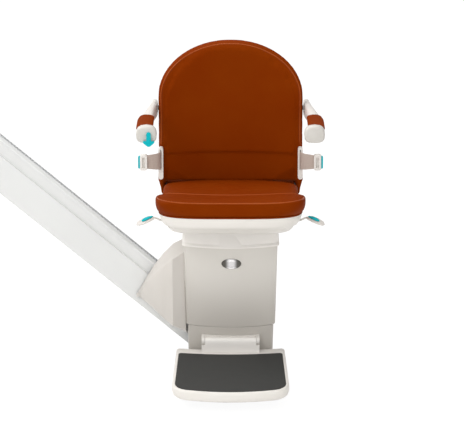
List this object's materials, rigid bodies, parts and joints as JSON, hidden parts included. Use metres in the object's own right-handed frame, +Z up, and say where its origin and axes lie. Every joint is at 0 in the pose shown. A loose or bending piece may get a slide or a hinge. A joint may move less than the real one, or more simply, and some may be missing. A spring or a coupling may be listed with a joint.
{
  "type": "stairlift chair",
  "caption": "Stairlift chair with a padded swivel seat, lifting arms, lap belt and folding footplate, on a carriage that climbs a sloping rail by rack and pinion.",
  "frame": {"origin": "on the floor under the rail foot, in the middle plane of the chair and of the rail", "axes": "+X to the right of a viewer who faces the chair, down the rail; -Y the way the sitter faces; +Z up"},
  "size_m": [1.1095, 0.6329, 0.9958],
  "materials": {
    "white_plastic": "satin",
    "grey_plastic": "matte",
    "rail_coat": "powder coated",
    "steel": "machined",
    "black_steel": "satin",
    "zinc_steel": "zinc plated",
    "roller_rubber": "matte",
    "mat_rubber": "matte",
    "leatherette": "satin",
    "teal_plastic": "satin",
    "belt_webbing": "woven",
    "black_plastic": "matte",
    "circuit_board": "matte"
  },
  "bodies": {
    "rail": {"rail": "rail_coat", "gear_rack": "steel", "rail_foot": "zinc_steel", "lower_end_cap": "white_plastic", "upper_end_cap": "white_plastic", "lower_end_stop": "roller_rubber"},
    "carriage": {"carriage_chassis": "black_steel", "tower_frame": "zinc_steel", "gearbox": "steel", "motor": "black_steel", "battery_left": "black_plastic", "battery_right": "black_plastic", "control_board": "circuit_board", "front_cover": "grey_plastic", "lower_cover": "grey_plastic", "neck_cover": "white_plastic", "side_casing": "grey_plastic", "swivel_ring": "steel", "footrest_bracket": "white_plastic"},
    "pinion": {"drive_pinion": "steel"},
    "load_roller_upper": {"load_roller_upper": "roller_rubber"},
    "load_roller_lower": {"load_roller_lower": "roller_rubber"},
    "hook_roller_upper": {"hook_roller_upper": "roller_rubber"},
    "hook_roller_lower": {"hook_roller_lower": "roller_rubber"},
    "thrust_roller_upper": {"thrust_roller_upper": "roller_rubber"},
    "thrust_roller_lower": {"thrust_roller_lower": "roller_rubber"},
    "footrest": {"footplate": "white_plastic", "footplate_mat": "mat_rubber", "footrest_hinge_leaf": "white_plastic"},
    "safety_pan": {"footplate_safety_pan": "black_plastic"},
    "swivel": {"turntable_hub": "steel", "back_frame": "black_steel", "seat_base_housing": "white_plastic", "backrest_shell": "grey_plastic", "backrest_cushion": "leatherette", "belt_bezel_left": "white_plastic", "belt_bezel_right": "white_plastic"},
    "release": {"release_rod": "steel", "release_lever_left": "grey_plastic", "release_lever_right": "grey_plastic", "lever_pad_left": "teal_plastic", "lever_pad_right": "teal_plastic"},
    "plunger": {"lock_plunger": "steel"},
    "seat": {"seat_pan": "white_plastic", "seat_frame": "black_steel", "seat_cushion": "leatherette"},
    "arm_left": {"arm_left": "grey_plastic", "arm_pad_left": "leatherette", "arm_cap_left": "white_plastic"},
    "arm_right": {"arm_right": "grey_plastic", "arm_pad_right": "leatherette", "arm_cap_right": "white_plastic"},
    "toggle": {"direction_toggle": "teal_plastic"},
    "belt_left": {"belt_webbing_left": "belt_webbing", "belt_tongue": "white_plastic", "tongue_tip": "teal_plastic"},
    "belt_right": {"belt_webbing_right": "belt_webbing", "belt_buckle": "white_plastic"},
    "buckle_button": {"buckle_button": "teal_plastic"}
  },
  "joints": [
    {"name": "carriage_travel", "type": "slide", "parent": "rail", "child": "carriage", "axis": [-0.7547, 0, 0.6561], "range_m": [0, 0.6]},
    {"name": "pinion_turn", "type": "hinge", "parent": "carriage", "child": "pinion", "pos_m": [-0.05241, 0, 0.17343], "axis": [0, 1, 0], "continuous": true},
    {"name": "load_roller_upper_turn", "type": "hinge", "parent": "carriage", "child": "load_roller_upper", "pos_m": [-0.11436, -0.01375, 0.21648], "axis": [0, 1, 0], "continuous": true},
    {"name": "hook_roller_upper_turn", "type": "hinge", "parent": "carriage", "child": "hook_roller_upper", "pos_m": [-0.14145, 0.0398, 0.18531], "axis": [0.6561, 0, 0.7547], "continuous": true},
    {"name": "thrust_roller_upper_turn", "type": "hinge", "parent": "carriage", "child": "thrust_roller_upper", "pos_m": [-0.16441, -0.0428, 0.1589], "axis": [0.6561, 0, 0.7547], "continuous": true},
    {"name": "load_roller_lower_turn", "type": "hinge", "parent": "carriage", "child": "load_roller_lower", "pos_m": [-0.00115, -0.01375, 0.11807], "axis": [0, 1, 0], "continuous": true},
    {"name": "hook_roller_lower_turn", "type": "hinge", "parent": "carriage", "child": "hook_roller_lower", "pos_m": [-0.02824, 0.0398, 0.0869], "axis": [0.6561, 0, 0.7547], "continuous": true},
    {"name": "thrust_roller_lower_turn", "type": "hinge", "parent": "carriage", "child": "thrust_roller_lower", "pos_m": [-0.05121, -0.0428, 0.06049], "axis": [0.6561, 0, 0.7547], "continuous": true},
    {"name": "footrest_fold", "type": "hinge", "parent": "carriage", "child": "footrest", "pos_m": [0, -0.2, 0.108], "axis": [-1, 0, 0], "range_deg": [0, 85]},
    {"name": "safety_pan_lift", "type": "slide", "parent": "footrest", "child": "safety_pan", "axis": [0, 0, 1], "range_m": [0, 0.004], "stiffness_N_per_m": 400, "springref_m": -0.02},
    {"name": "swivel", "type": "hinge", "parent": "carriage", "child": "swivel", "pos_m": [0, -0.1325, 0.46], "axis": [0, 0, 1], "range_deg": [-75, 75]},
    {"name": "release_turn", "type": "hinge", "parent": "swivel", "child": "release", "pos_m": [0, -0.165, 0.49], "axis": [1, 0, 0], "range_deg": [0, 12], "stiffness_Nm_per_rad": 2, "springref_deg": -22.92},
    {"name": "plunger_lift", "type": "slide", "parent": "swivel", "child": "plunger", "axis": [0, 0, 1], "range_m": [0, 0.007]},
    {"name": "seat_fold", "type": "hinge", "parent": "swivel", "child": "seat", "pos_m": [0, -0.02, 0.54], "axis": [-1, 0, 0], "range_deg": [0, 70]},
    {"name": "arm_left_lift", "type": "hinge", "parent": "swivel", "child": "arm_left", "pos_m": [-0.238, 0.09989, 0.772], "axis": [-1, 0, 0], "range_deg": [0, 85]},
    {"name": "arm_right_lift", "type": "hinge", "parent": "swivel", "child": "arm_right", "pos_m": [0.238, 0.09989, 0.772], "axis": [-1, 0, 0], "range_deg": [0, 85]},
    {"name": "toggle_tilt", "type": "hinge", "parent": "arm_left", "child": "toggle", "pos_m": [-0.24, -0.322, 0.814], "axis": [0, 1, 0], "range_deg": [-12, 12], "stiffness_Nm_per_rad": 0.2},
    {"name": "belt_left_pull", "type": "slide", "parent": "swivel", "child": "belt_left", "axis": [0, -1, 0], "range_m": [0, 0.01], "stiffness_N_per_m": 20, "springref_m": -0.2},
    {"name": "belt_right_sway", "type": "hinge", "parent": "swivel", "child": "belt_right", "pos_m": [0.2165, -0.0077, 0.637], "axis": [0, 0, 1], "range_deg": [-4.5, 4.5], "stiffness_Nm_per_rad": 2},
    {"name": "buckle_button_press", "type": "slide", "parent": "belt_right", "child": "buckle_button", "axis": [-1, 0, 0], "range_m": [0, 0.003], "stiffness_N_per_m": 400, "springref_m": -0.01}
  ],
  "couplings": [
    {"joint": "pinion_turn", "follows": "carriage_travel", "rad_per_m": -31.25},
    {"joint": "load_roller_upper_turn", "follows": "carriage_travel", "rad_per_m": -50},
    {"joint": "hook_roller_upper_turn", "follows": "carriage_travel", "rad_per_m": 83.333},
    {"joint": "thrust_roller_upper_turn", "follows": "carriage_travel", "rad_per_m": -66.667},
    {"joint": "load_roller_lower_turn", "follows": "carriage_travel", "rad_per_m": -50},
    {"joint": "hook_roller_lower_turn", "follows": "carriage_travel", "rad_per_m": 83.333},
    {"joint": "thrust_roller_lower_turn", "follows": "carriage_travel", "rad_per_m": -66.667},
    {"joint": "plunger_lift", "follows": "release_turn", "m_per_rad": 0.0334}
  ]
}
